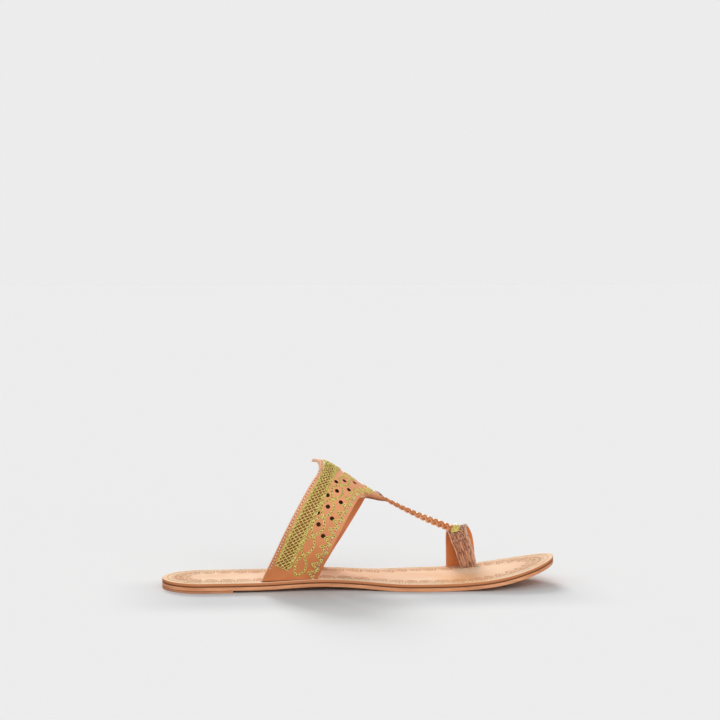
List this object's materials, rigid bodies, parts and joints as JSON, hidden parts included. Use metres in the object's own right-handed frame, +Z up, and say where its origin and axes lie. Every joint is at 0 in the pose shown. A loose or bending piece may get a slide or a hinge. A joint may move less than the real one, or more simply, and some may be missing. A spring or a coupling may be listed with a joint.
{
  "type": "kolhapuri sandal",
  "caption": "Flat leather sandal for the right foot: punched and embroidered instep band, plaited strap to a big toe ring, layered leather sole.",
  "frame": {"origin": "middle of the heel lift's flat underside, on the floor", "axes": "+X towards the toe, +Y towards the big toe side, +Z up"},
  "size_m": [0.26, 0.0782, 0.0828],
  "materials": {
    "lift_leather": "stacked sole leather with a burnished edge",
    "sole_leather": "vegetable tanned sole leather, cut edge burnished",
    "insole_leather": "pale smooth leather with stamped patterns and a stitched rim",
    "strap_leather": "oiled tan leather, punched and embroidered",
    "gold_thread": "twisted gold embroidery thread",
    "white_thread": "waxed off-white sewing thread"
  },
  "bodies": {
    "root": {"heel_lift": "lift_leather", "outsole": "sole_leather", "insole": "insole_leather", "upper": "strap_leather"}
  },
  "joints": []
}
